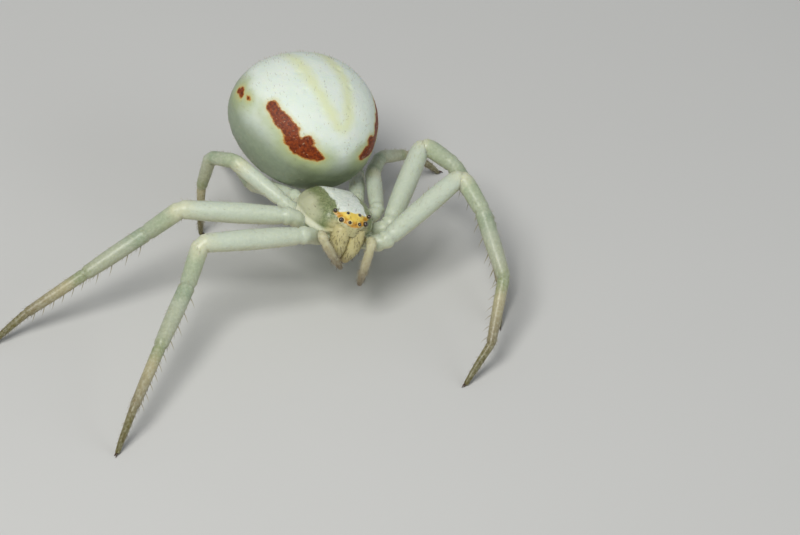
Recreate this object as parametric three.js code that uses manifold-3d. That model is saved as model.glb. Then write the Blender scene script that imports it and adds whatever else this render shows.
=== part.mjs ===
// A female flower crab spider at life size, standing on eight feet, in millimetres.
// +Z is up, the spider looks along -Y, +X is its left, and the floor is z = 0.
// The head-and-chest part (prosoma) leans to its left, and the round abdomen is carried up and back.
import * as THREE from "three";
import { mergeVertices } from "three/addons/utils/BufferGeometryUtils.js";
import Module from "manifold-3d";

const wasm = await Module();
wasm.setup();

// Gaps that keep neighbouring pieces apart
const JOINT_GAP = 0.05;
const SOCKET_GAP = 0.03;

// The prosoma: its rim's middle is this high, and it is rolled and pitched by whole angles
const RIM_HEIGHT = 3.8;
const LEAN_TO_LEFT = 14;
const NOSE_UP = 1;

// Carapace: how far it reaches ahead and back, half width, height of the dome, depth of the rolled rim
const CARAPACE = { length: 1.72, back: 2.0, width: 1.53, height: 1.27, rim: 0.16 };
// The carapace is held a little nose up and further to the left than the leg bases under it
const SHIELD = { left: -0.09, forward: 0.18, up: -0.29, noseUp: 10.5, lean: 7 };
// How boxy the dome's profile is: 2 is a plain ellipse, and the steep face is much squarer
const DOME_BACK = 2.1;
const DOME_FACE = 3.5;
// The plan is a pear: the head is narrower by one share and the rear wider by the other
const HEAD_TAPER = 0.42;
const REAR_SPREAD = 0.36;
const FACE_RAISE = 0.42; // how far the rim climbs at the face, where the jaws come out under it

const STERNUM = { width: 0.7, length: 0.74, depth: 0.3, forward: -0.1, up: -0.62 };
const PEDICEL = { radius: 0.26, up: -0.5, from: -1.3, to: -2.6 };

// Abdomen: half sizes, where its middle sits from the rim's middle, and how it is carried
const ABDOMEN = { length: 3.0, width: 3.2, height: 2.4, forward: -4.65, left: -0.52, up: 1.0 };
const ABDOMEN_UP = 10;
const ABDOMEN_TURN = 13;
const ABDOMEN_FULLNESS = 0.1; // how much wider the rear half is than the front half
const ABDOMEN_FLATNESS = 0.93; // a power under 1 fills out the shoulders of the top
const SPINNERETS = { base: 0.216, tip: 0.135, length: 0.5, around: 0.2, back: 0.86, up: -1.15, droop: 30 };

// Eyes: left, forward and up from the rim's middle, and the radius of each pair
const EYES = {
  back_side: { at: [0.74, 1.0, 1.07], radius: 0.085 },
  back_middle: { at: [0.25, 1.16, 1.13], radius: 0.065 },
  front_side: { at: [0.53, 1.37, 0.9], radius: 0.1 },
  front_middle: { at: [0.21, 1.53, 0.92], radius: 0.07 },
};

// Jaws (chelicerae), the plates beside the mouth (maxillae) and the feelers (palps)
const JAW = { left: 0.36, tipLeft: 0.25, top: 0.36, base: 1.3, forward: 1.42, bottom: -0.95 };
const JAW_RADII = [0.36, 0.2];
const JAW_BELLY = 0.02;
const FANG = { left: 0.07, back: 0.28, up: 0.02, root: 0.08, tip: 0.04 };
const MAXILLA = { left: 0.27, forward: 0.84, up: -0.5, width: 0.19, length: 0.2, depth: 0.19 };
const PALPS = {
  right: [
    [-0.84, 1.3, -0.16], [-1.3, 1.72, 0.42], [-1.12, 2.02, 0.18],
    [-0.62, 2.15, -0.4], [-0.24, 2.18, -0.82],
  ],
  left: [
    [0.84, 1.3, -0.16], [0.9, 1.78, 0.3], [0.79, 2.06, 0.0],
    [0.8, 2.14, -0.92], [0.84, 2.12, -1.62],
  ],
};
const PALP_RADII = [0.15, 0.19, 0.18, 0.17, 0.1];

// A leg's own lengths and radii from the hip out: femur, patella, tibia, metatarsus, tarsus
const LONG_LEG = {
  lengths: [4.4, 1.75, 2.9, 2.75, 1.75],
  radii: [0.31, 0.38, 0.34, 0.31, 0.27, 0.25],
};
const SHORT_LEG = {
  lengths: [2.95, 1.2, 1.75, 1.4, 0.95],
  radii: [0.27, 0.33, 0.28, 0.28, 0.26, 0.25],
};
const COXA = { from: 1.02, inner: 0.26, collar: 0.06, innerUp: -0.7 };
const FOOT_REST = 0.19; // height of a foot's last point over the floor, less than its radius
const NESTED = 0.95; // a joined limb starts a little inside the end of the one before
const FOOT_SPAN = 3; // the last three segments swing together to land the foot

// Each leg: where its hip sits round the prosoma, and each segment's heading and climb in degrees.
// Heading 0 is straight ahead, 90 is to the spider's left; climb is over the level floor.
const LEGS = {
  leg_1_right: {
    make: LONG_LEG, side: -1, hip: 50, reach: 2.08, up: 0.0,
    turns: [[-87, 6], [-42, -56], [-34, -19], [-34, -22], [-40, -46]],
  },
  leg_2_right: {
    make: LONG_LEG, side: -1, hip: 80, reach: 2.1, up: 0.1,
    turns: [[-101, 4], [-99, -43], [-76, -26], [-79, -29], [-73, -32]],
  },
  leg_3_right: {
    make: SHORT_LEG, side: -1, hip: 109, reach: 2.0, up: -0.2,
    turns: [[-144, 12], [-138, -20], [-132, -66], [-126, -78], [-120, -80]],
  },
  leg_4_right: {
    make: SHORT_LEG, side: -1, hip: 139, reach: 1.9, up: -0.35,
    turns: [[-152, -23], [-170, -6], [-178, -30], [180, -38], [178, -42]],
  },
  leg_1_left: {
    make: LONG_LEG, side: 1, hip: 48, reach: 2.05, up: -0.1,
    turns: [[119, 16], [17, -20], [6, -29], [-25, -36], [-53, -38]],
  },
  leg_2_left: {
    make: LONG_LEG, side: 1, hip: 80, reach: 2.1, up: -0.1,
    turns: [[148, 13], [30, 0], [50, -53], [-4, -20], [-15, -30]],
  },
  leg_3_left: {
    make: SHORT_LEG, side: 1, hip: 109, reach: 2.0, up: -0.2,
    turns: [[169, -8], [150, -8], [124, -44], [112, -57], [104, -61]],
  },
  leg_4_left: {
    make: SHORT_LEG, side: 1, hip: 139, reach: 1.9, up: -0.35,
    turns: [[164, -21], [172, -14], [178, -20], [-178, -28], [-176, -32]],
  },
};
const FREE_SEGMENTS = ["femur", "patella", "tibia"]; // the last two make up the foot
const BELLIES = [0.05, 0.01, 0.03, 0, 0];

const SIDES = { right: -1, left: 1 };
const RING = 8; // sides round a leg
const PALP_RING = 6;
const Z_AXIS = new THREE.Vector3(0, 0, 1);
const deg = THREE.MathUtils.degToRad;

const paint = (color, roughness) => new THREE.MeshStandardMaterial({ color, roughness, metalness: 0 });
const COLOURS = {
  carapace: paint(0xcfd6b4, 0.45),
  abdomen: paint(0xdfe8dc, 0.5),
  soft: paint(0xb9c3ac, 0.55),
  jaw: paint(0xc3bb84, 0.45),
  eye: paint(0x1a100a, 0.12),
  leg: paint(0xc3d3ba, 0.45),
  foot: paint(0xa9a878, 0.5),
};

// Closed three.js geometry to a solid, and back
function solid(geometry) {
  const bare = geometry.clone();
  bare.deleteAttribute("normal");
  bare.deleteAttribute("uv");
  const merged = mergeVertices(bare, 1e-4);
  return new wasm.Manifold(
    new wasm.Mesh({
      numProp: 3,
      vertProperties: merged.attributes.position.array,
      triVerts: new Uint32Array(merged.index.array),
    }),
  );
}

function surface(body) {
  const mesh = body.getMesh();
  const geometry = new THREE.BufferGeometry();
  geometry.setAttribute("position", new THREE.BufferAttribute(mesh.vertProperties, 3));
  geometry.setIndex(new THREE.BufferAttribute(mesh.triVerts, 1));
  geometry.computeVertexNormals();
  return geometry;
}

// A limb's length along +Z from 0, round at both ends, swelling from one radius to the other.
// belly adds to the radius at mid length.
function limbGeometry(length, start, end, belly = 0, ring = RING) {
  const profile = [];
  const caps = 2;
  const rings = 3;
  for (let i = 0; i <= caps; i++) {
    const a = (i / caps) * (Math.PI / 2);
    profile.push(new THREE.Vector2(start * Math.sin(a), -start * Math.cos(a)));
  }
  for (let i = 1; i < rings; i++) {
    const t = i / rings;
    const radius = start + (end - start) * t + belly * Math.sin(Math.PI * t);
    profile.push(new THREE.Vector2(radius, length * t));
  }
  for (let i = 0; i <= caps; i++) {
    const a = (i / caps) * (Math.PI / 2);
    profile.push(new THREE.Vector2(end * Math.cos(a), length + end * Math.sin(a)));
  }
  profile[0].x = 0;
  profile[profile.length - 1].x = 0;
  return new THREE.LatheGeometry(profile, ring).rotateX(Math.PI / 2).scale(1, -1, 1);
}

// An ellipsoid of half sizes x, y, z
function ellipsoid(x, y, z, around, rows) {
  return new THREE.SphereGeometry(1, around, rows).rotateX(Math.PI / 2).scale(x, y, z);
}

// Lathe profiles are turned over by the mirror above, so a solid that came out inside out is flipped
function outward(geometry) {
  const corners = geometry.index.array;
  const at = geometry.attributes.position;
  let volume = 0;
  const [a, b, c] = [new THREE.Vector3(), new THREE.Vector3(), new THREE.Vector3()];
  for (let i = 0; i < corners.length; i += 3) {
    a.fromBufferAttribute(at, corners[i]);
    b.fromBufferAttribute(at, corners[i + 1]);
    c.fromBufferAttribute(at, corners[i + 2]);
    volume += a.dot(b.cross(c));
  }
  if (volume < 0) {
    for (let i = 0; i < corners.length; i += 3) {
      [corners[i + 1], corners[i + 2]] = [corners[i + 2], corners[i + 1]];
    }
  }
  return geometry;
}

const limb = (...sizes) => solid(outward(limbGeometry(...sizes)));

// The half space beyond a plane: everything on the normal's side of a point is cut away
function beyond(point, normal, size = 5) {
  const box = new THREE.BoxGeometry(size, size, size).translate(0, 0, size / 2);
  const turn = new THREE.Quaternion().setFromUnitVectors(Z_AXIS, normal.clone().normalize());
  box.applyQuaternion(turn);
  box.translate(point.x, point.y, point.z);
  return solid(box);
}

function place(parent, name, geometry, material, position, quaternion) {
  const mesh = new THREE.Mesh(geometry, material);
  mesh.name = name;
  if (position) mesh.position.copy(position);
  if (quaternion) mesh.quaternion.copy(quaternion);
  parent.add(mesh);
  return mesh;
}

const spider = new THREE.Group();
const prosoma = new THREE.Group();
prosoma.position.set(0, 0, RIM_HEIGHT);
prosoma.rotation.set(-deg(NOSE_UP), deg(LEAN_TO_LEFT), 0);
spider.add(prosoma);

// A place given as left, forward and up in the prosoma
const inBody = (left, forward, up) => new THREE.Vector3(left, -forward, up);

// The carapace's own axes in the prosoma, which the eyes and jaws share
const shieldFrame = new THREE.Object3D();
shieldFrame.position.copy(inBody(SHIELD.left, SHIELD.forward, SHIELD.up));
shieldFrame.rotation.set(-deg(SHIELD.noseUp), deg(SHIELD.lean), 0);
shieldFrame.updateMatrix();
const onShield = (left, forward, up) => inBody(left, forward, up).applyMatrix4(shieldFrame.matrix);

// The carapace is a unit sphere pulled to a dome whose profile is squarer towards the face
function carapaceGeometry(grow = 0) {
  const geometry = new THREE.SphereGeometry(1, 24, 14).rotateX(Math.PI / 2);
  const at = geometry.attributes.position;
  for (let i = 0; i < at.count; i++) {
    const [x, y, z] = [at.getX(i), at.getY(i), at.getZ(i)];
    const out = Math.hypot(x, y);
    const facing = out > 1e-6 ? Math.max(0, -y / out) : 0;
    const power = 2 / (DOME_BACK + (DOME_FACE - DOME_BACK) * facing);
    const wide = out > 1e-6 ? Math.pow(out, power) / out : 1;
    const front = Math.max(0, -y * wide);
    const pear = 1 - HEAD_TAPER * front ** 1.5 + REAR_SPREAD * Math.max(0, y * wide);
    const dome = Math.max(0, z) ** power;
    const tall = (CARAPACE.height + grow) * dome + (CARAPACE.rim + grow) * Math.min(0, z);
    const raised = FACE_RAISE * THREE.MathUtils.smoothstep(front, 0.45, 0.95) * (1 - dome) ** 2;
    const width = (CARAPACE.width + grow) * pear;
    const reach = (y < 0 ? CARAPACE.length : CARAPACE.back) + grow;
    at.setXYZ(i, x * wide * width, y * wide * reach, tall + raised);
  }
  return geometry.applyMatrix4(shieldFrame.matrix);
}

// The abdomen is an egg, fuller behind, a little flat on top, in its own axes
function abdomenGeometry() {
  const geometry = ellipsoid(1, 1, 1, 26, 15);
  const at = geometry.attributes.position;
  for (let i = 0; i < at.count; i++) {
    const [x, y, z] = [at.getX(i), at.getY(i), at.getZ(i)];
    const full = 1 + ABDOMEN_FULLNESS * y - 0.04 * (1 - y * y);
    const flat = z > 0 ? z ** ABDOMEN_FLATNESS : z;
    at.setXYZ(i, x * full * ABDOMEN.width, y * ABDOMEN.length, flat * ABDOMEN.height * (1 + 0.03 * y));
  }
  return geometry;
}

function eyeSolid({ at: [left, forward, up], radius }, side, grow = 0) {
  const ball = new THREE.SphereGeometry(radius + grow, 8, 6);
  const middle = onShield(side * left, forward, up);
  return solid(ball.translate(middle.x, middle.y, middle.z));
}

function buildBody(spacedShell) {
  const abdomenFrame = new THREE.Object3D();
  abdomenFrame.position.copy(inBody(ABDOMEN.left, ABDOMEN.forward, ABDOMEN.up));
  abdomenFrame.rotation.set(deg(ABDOMEN_UP), 0, deg(ABDOMEN_TURN), "ZXY");
  abdomenFrame.updateMatrix();

  const stalkLength = PEDICEL.from - PEDICEL.to;
  const stalk = (grow) =>
    solid(
      outward(limbGeometry(stalkLength, PEDICEL.radius + grow, PEDICEL.radius + grow))
        .rotateX(-Math.PI / 2)
        .translate(0, -PEDICEL.from, PEDICEL.up),
    );

  let shell = solid(carapaceGeometry()).subtract(stalk(SOCKET_GAP));
  for (const eye of Object.values(EYES)) {
    for (const side of Object.values(SIDES)) {
      shell = shell.subtract(eyeSolid(eye, side, SOCKET_GAP));
    }
  }
  place(prosoma, "carapace", surface(shell), COLOURS.carapace);

  const plump = solid(abdomenGeometry().applyMatrix4(abdomenFrame.matrix));
  const spinFrame = new THREE.Matrix4()
    .makeTranslation(0, ABDOMEN.length * SPINNERETS.back, SPINNERETS.up)
    .premultiply(abdomenFrame.matrix);
  const cluster = (grow) => {
    let made = null;
    for (const turn of [90, 210, 330]) {
      const one = limbGeometry(SPINNERETS.length, SPINNERETS.base + grow, SPINNERETS.tip + grow)
        .translate(SPINNERETS.around * Math.cos(deg(turn)), SPINNERETS.around * Math.sin(deg(turn)), 0)
        .rotateX(-Math.PI / 2 - deg(SPINNERETS.droop))
        .applyMatrix4(spinFrame);
      const body = solid(outward(one));
      made = made ? made.add(body) : body;
    }
    return made;
  };
  const hollowed = plump.subtract(stalk(SOCKET_GAP)).subtract(cluster(SOCKET_GAP));
  const clear = hollowed.subtract(solid(carapaceGeometry(SOCKET_GAP * 2)));
  place(prosoma, "abdomen", surface(clear), COLOURS.abdomen);
  place(prosoma, "spinnerets", surface(cluster(0)), COLOURS.soft);
  place(prosoma, "pedicel", surface(stalk(0)), COLOURS.soft);

  const plate = ellipsoid(STERNUM.width, STERNUM.length, STERNUM.depth, 14, 6);
  const sternum = solid(plate.translate(0, -STERNUM.forward, STERNUM.up)).subtract(spacedShell);
  place(prosoma, "sternum", surface(sternum), COLOURS.soft);
}

function buildEyes() {
  for (const [pair, eye] of Object.entries(EYES)) {
    for (const [name, side] of Object.entries(SIDES)) {
      const [left, forward, up] = eye.at;
      const ball = new THREE.SphereGeometry(eye.radius, 8, 6);
      place(prosoma, `eye_${pair}_${name}`, ball, COLOURS.eye, onShield(side * left, forward, up));
    }
  }
}

// A limb between two places of the prosoma, in the prosoma's own axes
function limbBetween(a, b, start, end, belly = 0, ring = RING) {
  const along = b.clone().sub(a);
  const turn = new THREE.Quaternion().setFromUnitVectors(Z_AXIS, along.clone().normalize());
  const geometry = outward(limbGeometry(along.length(), start, end, belly, ring)).applyQuaternion(turn);
  return solid(geometry.translate(a.x, a.y, a.z));
}

function buildMouth(shell) {
  for (const [name, side] of Object.entries(SIDES)) {
    const [wide, narrow] = JAW_RADII;
    const top = onShield(side * JAW.left, JAW.base, JAW.top);
    const tip = onShield(side * JAW.tipLeft, JAW.forward, JAW.bottom + narrow);
    const fangTip = onShield(side * FANG.left, JAW.forward - FANG.back, JAW.bottom + FANG.up);
    const fang = limbBetween(tip, fangTip, FANG.root, FANG.tip);
    const inward = new THREE.Vector3(-side, 0, 0).transformDirection(shieldFrame.matrix);
    const middle = beyond(onShield((side * JOINT_GAP) / 2, 0, 0), inward);
    const jaw = limbBetween(top, tip, wide, narrow, JAW_BELLY).add(fang).subtract(middle).subtract(shell);
    place(prosoma, `chelicera_${name}`, surface(jaw), COLOURS.jaw);

    const plate = ellipsoid(MAXILLA.width, MAXILLA.length, MAXILLA.depth, 9, 6);
    const maxilla = solid(plate.translate(side * MAXILLA.left, -MAXILLA.forward, MAXILLA.up));
    place(prosoma, `maxilla_${name}`, surface(maxilla.subtract(shell)), COLOURS.soft);

    let palp = null;
    const places = PALPS[name].map((at) => inBody(...at));
    for (let i = 0; i + 1 < places.length; i++) {
      const start = i ? PALP_RADII[i] * NESTED : PALP_RADII[i];
      const piece = limbBetween(places[i], places[i + 1], start, PALP_RADII[i + 1], 0, PALP_RING);
      palp = palp ? palp.add(piece) : piece;
    }
    place(prosoma, `palp_${name}`, surface(palp.subtract(shell)), COLOURS.leg);
  }
}

const heading = ([turn, climb]) =>
  new THREE.Vector3(
    Math.sin(deg(turn)) * Math.cos(deg(climb)),
    -Math.cos(deg(turn)) * Math.cos(deg(climb)),
    Math.sin(deg(climb)),
  );

// The joints of a leg in the part's frame, hip first
function jointsOf(hip, turns, lengths, lift) {
  const joints = [hip];
  turns.forEach(([turn, climb], i) => {
    const raised = i >= turns.length - FOOT_SPAN ? climb + lift : climb;
    joints.push(heading([turn, raised]).multiplyScalar(lengths[i]).add(joints[i]));
  });
  return joints;
}

// The foot is landed by halving the range of the shared lift of the last segments
function landedJoints(hip, turns, lengths) {
  let [low, high] = [-30, 30];
  for (let i = 0; i < 40; i++) {
    const lift = (low + high) / 2;
    const joints = jointsOf(hip, turns, lengths, lift);
    if (joints[joints.length - 1].z > FOOT_REST) high = lift;
    else low = lift;
  }
  return jointsOf(hip, turns, lengths, (low + high) / 2);
}

function buildLeg(name, leg, shell) {
  const around = deg(leg.hip);
  const seat = inBody(leg.side * leg.reach * Math.sin(around), leg.reach * Math.cos(around), leg.up);
  const root = inBody(leg.side * COXA.from * Math.sin(around), COXA.from * Math.cos(around), COXA.innerUp);
  const hip = seat.clone().applyMatrix4(prosoma.matrixWorld);
  const joints = landedJoints(hip, leg.turns, leg.make.lengths);
  const radii = leg.make.radii;

  const coxaWay = hip.clone().sub(root.clone().applyMatrix4(prosoma.matrixWorld)).normalize();
  const firstWay = joints[1].clone().sub(hip).normalize();
  const hipPlane = coxaWay.clone().add(firstWay);
  const toBody = prosoma.matrixWorld.clone().invert();
  const planeInBody = hipPlane.clone().transformDirection(toBody);
  const coxa = limbBetween(root, seat, COXA.inner, radii[0] + COXA.collar)
    .subtract(beyond(seat.clone().addScaledVector(planeInBody, -JOINT_GAP / 2), planeInBody))
    .subtract(shell);
  place(prosoma, `${name}_coxa`, surface(coxa), COLOURS.leg);

  // The metatarsus and tarsus are one bent foot, so it is joined before it is cut
  const ways = joints.slice(1).map((joint, i) => joint.clone().sub(joints[i]).normalize());
  const bodyOf = (i, origin) => {
    const turn = new THREE.Quaternion().setFromUnitVectors(Z_AXIS, ways[i]);
    const start = i === 4 ? radii[i] * NESTED : radii[i];
    const made = outward(limbGeometry(leg.make.lengths[i], start, radii[i + 1], BELLIES[i]));
    const at = joints[i].clone().sub(origin);
    return solid(made.applyQuaternion(turn).translate(at.x, at.y, at.z));
  };
  const cut = (body, i, normal, origin) =>
    body.subtract(beyond(joints[i].clone().sub(origin).addScaledVector(normal, -JOINT_GAP / 2), normal));

  const bends = ways.slice(1).map((way, i) => way.clone().add(ways[i]).normalize());
  const planes = [hipPlane.normalize(), ...bends];
  FREE_SEGMENTS.forEach((segment, i) => {
    const origin = joints[i];
    let body = bodyOf(i, origin);
    body = cut(body, i, planes[i].clone().negate(), origin);
    body = cut(body, i + 1, planes[i + 1], origin);
    place(spider, `${name}_${segment}`, surface(body), COLOURS.leg, origin);
  });
  const origin = joints[FREE_SEGMENTS.length];
  let foot = bodyOf(3, origin).add(bodyOf(4, origin));
  foot = cut(foot, 3, planes[3].clone().negate(), origin);
  const landing = joints[5].clone().setZ(0).sub(origin);
  foot = foot.subtract(beyond(landing, Z_AXIS.clone().negate()));
  place(spider, `${name}_foot`, surface(foot), COLOURS.foot, origin);
}

spider.updateMatrixWorld(true);
const spacedShell = solid(carapaceGeometry(SOCKET_GAP));
buildBody(spacedShell);
buildEyes();
buildMouth(spacedShell);
for (const [name, leg] of Object.entries(LEGS)) buildLeg(name, leg, spacedShell);

// The origin is the middle of the floor under the model's box
spider.updateMatrixWorld(true);
const box = new THREE.Box3().setFromObject(spider, true);
const middle = box.getCenter(new THREE.Vector3());
spider.position.set(-middle.x, -middle.y, -box.min.z);

export default spider;
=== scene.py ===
# The looks of a female crab spider at life size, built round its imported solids.
# Tables and shapes are in millimetres, and a finished piece is scaled to metres once.
# +Z is up, the spider looks along -Y and +X is its left.
import math
import random

import bmesh
import bpy
from mathutils import Matrix, Vector, noise


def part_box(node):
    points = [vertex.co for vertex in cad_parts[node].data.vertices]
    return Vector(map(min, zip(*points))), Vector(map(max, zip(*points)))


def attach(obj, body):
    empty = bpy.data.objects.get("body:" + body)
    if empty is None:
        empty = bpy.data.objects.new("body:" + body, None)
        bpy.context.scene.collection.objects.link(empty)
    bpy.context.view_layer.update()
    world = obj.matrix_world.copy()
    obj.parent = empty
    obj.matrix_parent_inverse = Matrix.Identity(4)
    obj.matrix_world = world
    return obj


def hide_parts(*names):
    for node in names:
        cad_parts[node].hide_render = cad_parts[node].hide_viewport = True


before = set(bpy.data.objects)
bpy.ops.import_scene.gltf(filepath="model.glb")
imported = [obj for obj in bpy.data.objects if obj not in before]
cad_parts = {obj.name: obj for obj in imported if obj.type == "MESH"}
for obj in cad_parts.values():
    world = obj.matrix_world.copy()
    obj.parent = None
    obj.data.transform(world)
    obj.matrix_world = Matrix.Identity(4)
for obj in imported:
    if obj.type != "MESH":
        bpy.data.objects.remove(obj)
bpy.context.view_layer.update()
MM = 0.001
SIDES = {"right": -1, "left": 1}

# The solids' own measures, repeated from their source
LEAN_TO_LEFT = 14
NOSE_UP = 1
CARAPACE = {"length": 1.72, "back": 2.0, "width": 1.53, "height": 1.27, "rim": 0.16}
SHIELD_AT = (-0.09, 0.18, -0.29)
SHIELD_NOSE_UP = 10.5
SHIELD_LEAN = 7
DOME_BACK = 2.1
DOME_FACE = 3.5
HEAD_TAPER = 0.42
HEAD_CURVE = 1.5
REAR_SPREAD = 0.36
FACE_RAISE = 0.42
FACE_FROM, FACE_TO = 0.45, 0.95
ABDOMEN = {"length": 3.0, "width": 3.2, "height": 2.4, "at": (-0.52, -4.65, 1.0)}
ABDOMEN_UP = 10
ABDOMEN_TURN = 13
ABDOMEN_FULLNESS = 0.1
ABDOMEN_PINCH = 0.04
ABDOMEN_FLATNESS = 0.93
ABDOMEN_REAR_RISE = 0.03
SPINNERETS_BACK = 0.86
SPINNERETS_UP = -1.15
SPINNERETS_DROOP = 30
EYES = {
    "back_side": ((0.74, 1.0, 1.07), 0.085),
    "back_middle": ((0.25, 1.16, 1.13), 0.065),
    "front_side": ((0.53, 1.37, 0.9), 0.1),
    "front_middle": ((0.21, 1.53, 0.92), 0.07),
}
PALPS = {
    "right": [
        (-0.84, 1.3, -0.16), (-1.3, 1.72, 0.42), (-1.12, 2.02, 0.18),
        (-0.62, 2.15, -0.4), (-0.24, 2.18, -0.82),
    ],
    "left": [
        (0.84, 1.3, -0.16), (0.9, 1.78, 0.3), (0.79, 2.06, 0.0),
        (0.8, 2.14, -0.92), (0.84, 2.12, -1.62),
    ],
}
LONG_LEG = [4.4, 1.75, 2.9, 2.75, 1.75]
SHORT_LEG = [2.95, 1.2, 1.75, 1.4, 0.95]
COXA_FROM = 1.02
COXA_UP = -0.7
FOOT_REST = 0.19
FOOT_SPAN = 3
# Each leg: its lengths, its side, where its hip sits, and the heading and climb of each segment
LEGS = {
    "leg_1_right": (
        LONG_LEG, -1, 50, 2.08, 0.0, [(-87, 6), (-42, -56), (-34, -19), (-34, -22), (-40, -46)],
    ),
    "leg_2_right": (
        LONG_LEG, -1, 80, 2.1, 0.1, [(-101, 4), (-99, -43), (-76, -26), (-79, -29), (-73, -32)],
    ),
    "leg_3_right": (
        SHORT_LEG, -1, 109, 2.0, -0.2, [(-144, 12), (-138, -20), (-132, -66), (-126, -78), (-120, -80)],
    ),
    "leg_4_right": (
        SHORT_LEG, -1, 139, 1.9, -0.35, [(-152, -23), (-170, -6), (-178, -30), (180, -38), (178, -42)],
    ),
    "leg_1_left": (
        LONG_LEG, 1, 48, 2.05, -0.1, [(119, 16), (17, -20), (6, -29), (-25, -36), (-53, -38)],
    ),
    "leg_2_left": (
        LONG_LEG, 1, 80, 2.1, -0.1, [(148, 13), (30, 0), (50, -53), (-4, -20), (-15, -30)],
    ),
    "leg_3_left": (
        SHORT_LEG, 1, 109, 2.0, -0.2, [(169, -8), (150, -8), (124, -44), (112, -57), (104, -61)],
    ),
    "leg_4_left": (
        SHORT_LEG, 1, 139, 1.9, -0.35, [(164, -21), (172, -14), (178, -20), (-178, -28), (-176, -32)],
    ),
}
LEG_PARTS = ("coxa", "femur", "patella", "tibia", "foot")

# The skin of a limb: radius at the start and end of each segment, and how far its middle swells
LONG_SKIN = [
    (0.24, 0.35, 0.0), (0.33, 0.36, 0.07), (0.35, 0.32, 0.02),
    (0.32, 0.27, 0.03), (0.24, 0.19, 0.01), (0.165, 0.1, 0.01),
]
SHORT_SKIN = [
    (0.22, 0.3, 0.0), (0.26, 0.3, 0.04), (0.29, 0.26, 0.01),
    (0.26, 0.21, 0.02), (0.18, 0.15, 0.0), (0.14, 0.09, 0.01),
]
PALP_SKIN = [(0.14, 0.18, 0.0), (0.19, 0.175, 0.01), (0.18, 0.165, 0.01), (0.165, 0.1, 0.02)]


def turned(degrees, axis):
    return Matrix.Rotation(math.radians(degrees), 4, axis)


def moved(left, forward, up):
    return Matrix.Translation((left, -forward, up))


# The middle of the prosoma's rim is found from an eye's solid.
# The carapace, eyes and jaws have axes of their own in the prosoma's.
PROSOMA_TILT = turned(-NOSE_UP, "X") @ turned(LEAN_TO_LEFT, "Y")
SHIELD_IN_BODY = moved(*SHIELD_AT) @ turned(-SHIELD_NOSE_UP, "X") @ turned(SHIELD_LEAN, "Y")


def rim_middle():
    low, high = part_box("eye_front_side_right")
    left, forward, up = EYES["front_side"][0]
    eye = SHIELD_IN_BODY @ Vector((-left, -forward, up))
    return (low + high) / (2 * MM) - PROSOMA_TILT @ eye


RIM_MIDDLE = rim_middle()
PROSOMA = Matrix.Translation(RIM_MIDDLE) @ PROSOMA_TILT
SHIELD = PROSOMA @ SHIELD_IN_BODY
ABDOMEN_AXES = PROSOMA @ moved(*ABDOMEN["at"]) @ turned(ABDOMEN_TURN, "Z") @ turned(ABDOMEN_UP, "X")


def in_body(left, forward, up, axes=PROSOMA):
    return axes @ Vector((left, -forward, up))


def smooth_step(low, high, x):
    t = min(1.0, max(0.0, (x - low) / (high - low)))
    return t * t * (3 - 2 * t)


def hump(x, middle, spread):
    return math.exp(-(((x - middle) / spread) ** 2))


# Shader maths: a Wire is a socket that adds its own nodes when it is reckoned with
class Wire:
    def __init__(self, finish, socket):
        self.finish = finish
        self.socket = socket

    def math(self, operation, *others):
        sockets = dict(enumerate((self, *others)))
        return self.finish.node("ShaderNodeMath", {"operation": operation}, sockets)

    def __add__(self, other):
        return self.math("ADD", other)

    def __sub__(self, other):
        return self.math("SUBTRACT", other)

    def __mul__(self, other):
        return self.math("MULTIPLY", other)

    def __truediv__(self, other):
        return self.math("DIVIDE", other)

    def __pow__(self, other):
        return self.math("POWER", other)

    __radd__ = __add__
    __rmul__ = __mul__

    def __abs__(self):
        return self.math("ABSOLUTE")

    def least(self, other):
        return self.math("MINIMUM", other)

    def most(self, other):
        return self.math("MAXIMUM", other)

    def step(self, low, high):
        """0 below low and 1 above high, smooth between; the other way round when low is larger."""
        sockets = {"Value": self, "From Min": low, "From Max": high}
        return self.finish.node("ShaderNodeMapRange", {"interpolation_type": "SMOOTHSTEP"}, sockets)


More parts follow.
